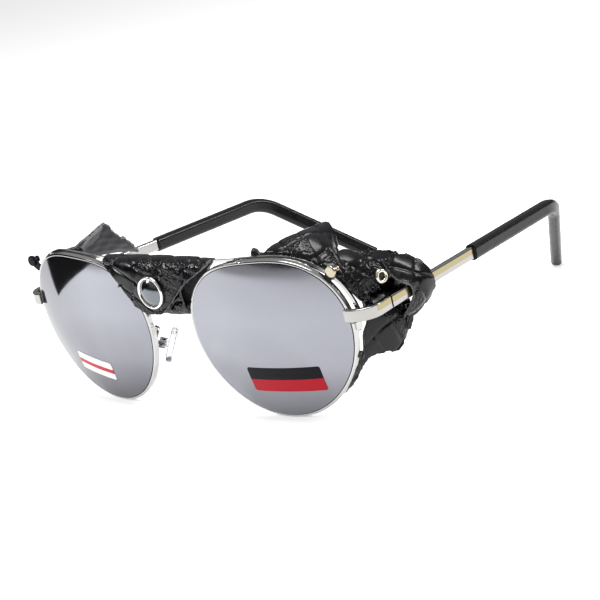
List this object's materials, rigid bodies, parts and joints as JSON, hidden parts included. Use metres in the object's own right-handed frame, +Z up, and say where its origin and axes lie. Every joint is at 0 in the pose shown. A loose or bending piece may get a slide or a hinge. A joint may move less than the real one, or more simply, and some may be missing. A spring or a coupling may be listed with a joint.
{
  "type": "sunglasses",
  "caption": "Metal sunglasses with round mirrored lenses, leather side shields, a leather nose cover on a snap, and spring-hinged temples with hooked tips.",
  "frame": {"origin": "under the middle of the bounding box, on the surface the glasses stand on", "axes": "+X to the wearer's left, +Y back along the temples, +Z up"},
  "size_m": [0.1488, 0.1478, 0.0562],
  "materials": {
    "frame_metal": "polished",
    "hinge_metal": "satin",
    "screw_steel": "satin",
    "temple_metal": "polished",
    "mirror_lens": "silver mirror coating",
    "black_leather": "glossy, embossed with crossing strips",
    "black_plastic": "gloss",
    "clear_pad": "clear",
    "snap_metal": "polished",
    "eyelet_metal": "polished",
    "dark_label": "gloss",
    "pale_label": "gloss"
  },
  "bodies": {
    "front": {"brow_bar": "frame_metal", "bridge_wire": "frame_metal", "rim_left": "frame_metal", "rim_right": "frame_metal", "end_piece_left": "frame_metal", "end_piece_right": "frame_metal", "rim_lock_left": "frame_metal", "rim_lock_right": "frame_metal", "pad_arm_left": "frame_metal", "pad_arm_right": "frame_metal", "pad_box_left": "frame_metal", "pad_box_right": "frame_metal", "shield_tab_left": "frame_metal", "shield_tab_right": "frame_metal", "hinge_leaf_left": "hinge_metal", "hinge_leaf_right": "hinge_metal", "lens_left": "mirror_lens", "lens_right": "mirror_lens", "lens_label_left": "dark_label", "lens_label_right": "pale_label", "side_shield_left": "black_leather", "side_shield_right": "black_leather", "hinge_screws": "screw_steel", "pad_screws": "screw_steel", "rim_lock_screws": "screw_steel", "nose_cover_back": "black_leather", "snap_stud": "snap_metal", "snap_post": "snap_metal", "shield_rivets": "snap_metal", "eyelets": "eyelet_metal"},
    "carriage_left": {"carriage_left": "hinge_metal", "spring_nut_left": "hinge_metal"},
    "temple_left": {"spring_box_left": "hinge_metal", "spring_collar_left": "hinge_metal", "flex_spring_left": "hinge_metal", "temple_bar_left": "temple_metal", "temple_tip_left": "black_plastic"},
    "nose_pad_left": {"nose_pad_left": "clear_pad"},
    "carriage_right": {"carriage_right": "hinge_metal", "spring_nut_right": "hinge_metal"},
    "temple_right": {"spring_box_right": "hinge_metal", "spring_collar_right": "hinge_metal", "flex_spring_right": "hinge_metal", "temple_bar_right": "temple_metal", "temple_tip_right": "black_plastic"},
    "nose_pad_right": {"nose_pad_right": "clear_pad"},
    "nose_flap": {"nose_cover_front": "black_leather", "snap_cap": "snap_metal", "snap_socket": "snap_metal"}
  },
  "joints": [
    {"name": "left_temple_fold", "type": "hinge", "parent": "front", "child": "carriage_left", "pos_m": [0.0704, -0.0498, 0.03298], "axis": [-0.0247, -0.0185, 0.9995], "range_deg": [-8, 74], "deforming": ["side_shield_left"]},
    {"name": "left_temple_flex", "type": "slide", "parent": "carriage_left", "child": "temple_left", "axis": [-0.0858, 0.9963, 0], "range_m": [0, 0.0012], "stiffness_N_per_m": 1500, "springref_m": -0.0005, "deforming": ["flex_spring_left"]},
    {"name": "left_pad_rock", "type": "hinge", "parent": "front", "child": "nose_pad_left", "pos_m": [0.0143, -0.06, 0.01968], "axis": [-0.4789, -0.8294, -0.2877], "range_deg": [-12, 12]},
    {"name": "right_temple_fold", "type": "hinge", "parent": "front", "child": "carriage_right", "pos_m": [-0.0704, -0.0498, 0.03298], "axis": [0.0247, -0.0185, -0.9995], "range_deg": [-8, 71], "deforming": ["side_shield_right"]},
    {"name": "right_temple_flex", "type": "slide", "parent": "carriage_right", "child": "temple_right", "axis": [0.0858, 0.9963, 0], "range_m": [0, 0.0012], "stiffness_N_per_m": 1500, "springref_m": -0.0005, "deforming": ["flex_spring_right"]},
    {"name": "right_pad_rock", "type": "hinge", "parent": "front", "child": "nose_pad_right", "pos_m": [-0.0143, -0.06, 0.01968], "axis": [-0.4789, 0.8294, 0.2877], "range_deg": [-12, 12]},
    {"name": "nose_flap_open", "type": "hinge", "parent": "front", "child": "nose_flap", "pos_m": [0, -0.071, 0.04908], "axis": [-1, 0, 0], "range_deg": [0, 110]}
  ]
}
